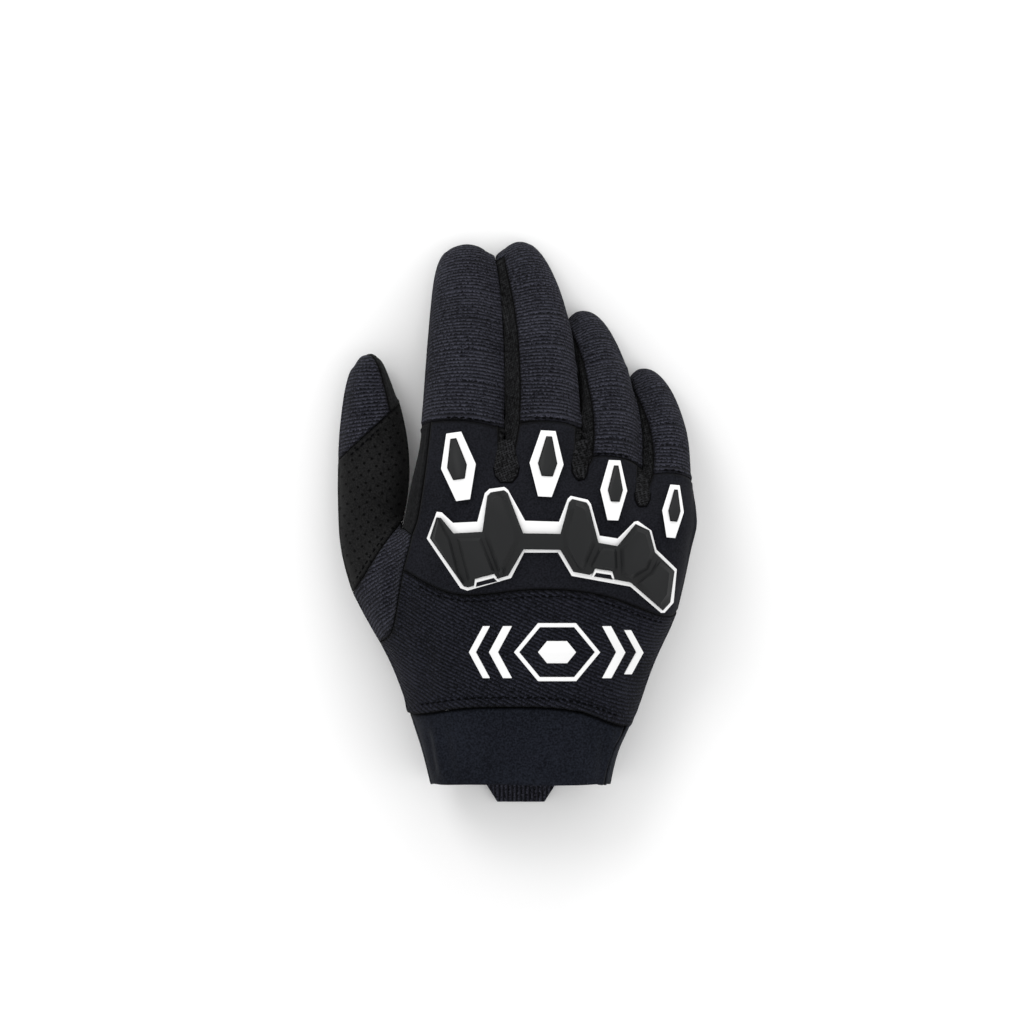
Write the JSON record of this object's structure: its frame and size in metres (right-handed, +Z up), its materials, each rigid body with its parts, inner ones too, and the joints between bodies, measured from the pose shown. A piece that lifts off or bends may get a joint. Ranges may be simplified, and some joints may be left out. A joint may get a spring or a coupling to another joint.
{
  "type": "motocross glove",
  "caption": "Right-hand motocross glove of sewn stretch panels with a suede palm, a moulded rubber knuckle guard and small finger guards; it covers and shields a rider's hand.",
  "frame": {"origin": "middle of the glove's bounding box in plan, on the surface that it lies on", "axes": "+Y from the cuff to the fingertips, +X from the thumb to the little finger, +Z up, out of the back of the hand"},
  "size_m": [0.1324, 0.2084, 0.0619],
  "materials": {
    "rib_knit": "black fine-ribbed knit, matte",
    "stretch_cloth": "black smooth stretch cloth, matte",
    "mesh": "black open mesh with grey flecks",
    "suede": "black synthetic suede",
    "perforated_suede": "black synthetic suede with rows of small holes",
    "dark_rubber": "charcoal moulded rubber, matte",
    "white_rubber": "white moulded rubber, satin"
  },
  "bodies": {
    "root": {"back_panel": "rib_knit", "cuff_back": "stretch_cloth", "cuff_palm": "stretch_cloth", "fourchette_index_middle": "mesh", "fourchette_middle_ring": "mesh", "fourchette_ring_little": "mesh", "index_back": "rib_knit", "knuckle_panel": "stretch_cloth", "little_back": "rib_knit", "middle_back": "rib_knit", "palm": "suede", "ring_back": "rib_knit", "thumb_back": "rib_knit", "thumb_gusset": "rib_knit", "thumb_overlay": "perforated_suede", "thumb_pad": "suede", "pull_tab": "stretch_cloth", "knuckle_guard_base": "white_rubber", "knuckle_guard_shell": "dark_rubber", "guard_frame_index": "white_rubber", "guard_insert_index": "dark_rubber", "guard_frame_middle": "white_rubber", "guard_insert_middle": "dark_rubber", "guard_frame_ring": "white_rubber", "guard_insert_ring": "dark_rubber", "guard_frame_little": "white_rubber", "guard_insert_little": "dark_rubber"}
  },
  "joints": []
}
